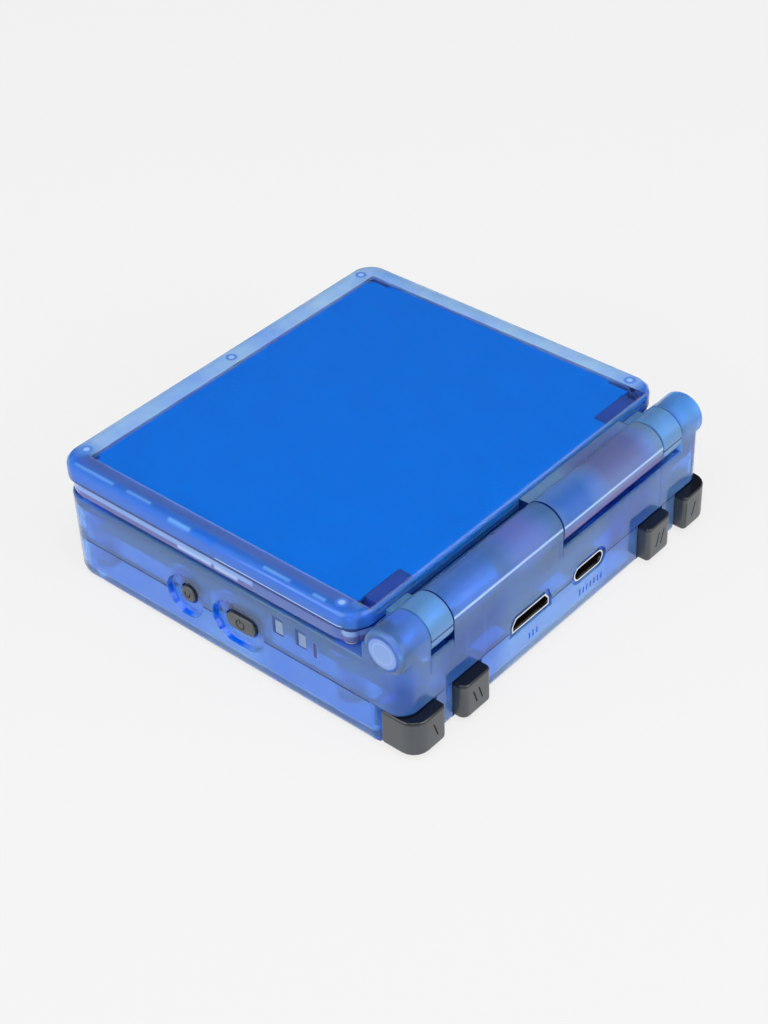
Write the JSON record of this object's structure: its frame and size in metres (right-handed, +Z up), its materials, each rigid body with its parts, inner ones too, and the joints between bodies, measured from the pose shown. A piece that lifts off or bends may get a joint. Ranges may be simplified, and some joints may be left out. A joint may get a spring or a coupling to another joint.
{
  "type": "clamshell handheld game console",
  "caption": "Pocket clamshell game console in frosted translucent blue plastic: hinged lid with display, control deck, shoulder buttons and rear ports",
  "frame": {"origin": "middle of the underside of the base, on the surface that it rests on", "axes": "+X to the side with the power button, +Y to the hinge edge at the rear, +Z up"},
  "size_m": [0.089, 0.0875, 0.027],
  "materials": {
    "translucent_case": "frosted translucent blue, satin",
    "backing_blue": "opaque saturated blue sheet",
    "key_plastic": "charcoal, fine matt",
    "bare_steel": "plated",
    "board_laminate": "solder-masked laminate",
    "chip_plastic": "moulded black",
    "battery_foil": "soft foil pouch",
    "silicone": "soft, matt",
    "pipe_clear": "clear",
    "flex_copper": "amber film over copper",
    "lens_glass": "dark, polished",
    "panel_grey": "metal-backed display"
  },
  "bodies": {
    "base": {"base_upper_shell": "translucent_case", "base_lower_shell": "translucent_case", "base_screws": "bare_steel", "main_board": "board_laminate", "shield_can": "bare_steel", "board_chips": "chip_plastic", "battery": "battery_foil", "video_port": "bare_steel", "rear_usb_port": "bare_steel", "charging_port": "bare_steel", "headphone_jack": "chip_plastic", "card_sockets": "bare_steel", "speakers": "chip_plastic", "dpad_membrane": "silicone", "face_button_membrane": "silicone", "menu_membranes": "silicone", "shoulder_switches": "chip_plastic", "side_switches": "chip_plastic", "light_pipes": "pipe_clear", "hinge_cap_right": "translucent_case", "hinge_cap_left": "translucent_case", "hinge_friction_unit": "bare_steel", "hinge_pin_left": "bare_steel", "ribbon_cable_base": "flex_copper"},
    "lid": {"lid_cover": "translucent_case", "lid_bezel": "translucent_case", "lid_barrel_cover": "translucent_case", "screen_lens": "lens_glass", "display_panel": "panel_grey", "lid_backing_plate": "backing_blue", "lid_screws": "bare_steel", "lid_bumpers": "silicone", "lid_magnet": "bare_steel", "ribbon_cable_lid": "flex_copper"},
    "dpad_pivot": {"dpad_pivot": "key_plastic"},
    "dpad": {"dpad": "key_plastic"},
    "button_a": {"button_a": "key_plastic"},
    "button_b": {"button_b": "key_plastic"},
    "button_x": {"button_x": "key_plastic"},
    "button_y": {"button_y": "key_plastic"},
    "button_start": {"button_start": "key_plastic"},
    "button_select": {"button_select": "key_plastic"},
    "button_menu": {"button_menu": "key_plastic"},
    "shoulder_l1": {"shoulder_l1": "key_plastic"},
    "shoulder_l2": {"shoulder_l2": "key_plastic"},
    "shoulder_r1": {"shoulder_r1": "key_plastic"},
    "shoulder_r2": {"shoulder_r2": "key_plastic"},
    "power_button": {"power_button": "key_plastic"},
    "reset_button": {"reset_button": "key_plastic"},
    "volume_rocker": {"volume_rocker": "key_plastic"}
  },
  "joints": [
    {"name": "lid_hinge", "type": "hinge", "parent": "base", "child": "lid", "pos_m": [0, 0.038, 0.0224], "axis": [-1, 0, 0], "range_deg": [0, 150]},
    {"name": "dpad_tilt_front_back", "type": "hinge", "parent": "base", "child": "dpad_pivot", "pos_m": [-0.0265, 0.006, 0.0144], "axis": [1, 0, 0], "range_deg": [-3, 3], "stiffness_Nm_per_rad": 0.13},
    {"name": "dpad_tilt_left_right", "type": "hinge", "parent": "dpad_pivot", "child": "dpad", "pos_m": [-0.0265, 0.006, 0.0144], "axis": [0, 1, 0], "range_deg": [-3, 3], "stiffness_Nm_per_rad": 0.13},
    {"name": "press_a", "type": "slide", "parent": "base", "child": "button_a", "axis": [0, 0, -1], "range_m": [0, 0.0008], "stiffness_N_per_m": 1500},
    {"name": "press_b", "type": "slide", "parent": "base", "child": "button_b", "axis": [0, 0, -1], "range_m": [0, 0.0008], "stiffness_N_per_m": 1500},
    {"name": "press_x", "type": "slide", "parent": "base", "child": "button_x", "axis": [0, 0, -1], "range_m": [0, 0.0008], "stiffness_N_per_m": 1500},
    {"name": "press_y", "type": "slide", "parent": "base", "child": "button_y", "axis": [0, 0, -1], "range_m": [0, 0.0008], "stiffness_N_per_m": 1500},
    {"name": "press_start", "type": "slide", "parent": "base", "child": "button_start", "axis": [0, 0, -1], "range_m": [0, 0.0006], "stiffness_N_per_m": 1500},
    {"name": "press_select", "type": "slide", "parent": "base", "child": "button_select", "axis": [0, 0, -1], "range_m": [0, 0.0006], "stiffness_N_per_m": 1500},
    {"name": "press_menu", "type": "slide", "parent": "base", "child": "button_menu", "axis": [0, 0, -1], "range_m": [0, 0.0006], "stiffness_N_per_m": 1500},
    {"name": "press_l1", "type": "slide", "parent": "base", "child": "shoulder_l1", "axis": [0, -1, 0], "range_m": [0, 0.0005], "stiffness_N_per_m": 2500},
    {"name": "press_l2", "type": "slide", "parent": "base", "child": "shoulder_l2", "axis": [0, -1, 0], "range_m": [0, 0.0005], "stiffness_N_per_m": 2500},
    {"name": "press_r1", "type": "slide", "parent": "base", "child": "shoulder_r1", "axis": [0, -1, 0], "range_m": [0, 0.0005], "stiffness_N_per_m": 2500},
    {"name": "press_r2", "type": "slide", "parent": "base", "child": "shoulder_r2", "axis": [0, -1, 0], "range_m": [0, 0.0005], "stiffness_N_per_m": 2500},
    {"name": "press_power", "type": "slide", "parent": "base", "child": "power_button", "axis": [-1, 0, 0], "range_m": [0, 0.0004], "stiffness_N_per_m": 3000},
    {"name": "press_reset", "type": "slide", "parent": "base", "child": "reset_button", "axis": [-1, 0, 0], "range_m": [0, 0.0004], "stiffness_N_per_m": 3000},
    {"name": "volume_rock", "type": "hinge", "parent": "base", "child": "volume_rocker", "pos_m": [-0.0412, 0.012, 0.0094], "axis": [0, 0, 1], "range_deg": [-2.5, 2.5], "stiffness_Nm_per_rad": 0.1}
  ]
}
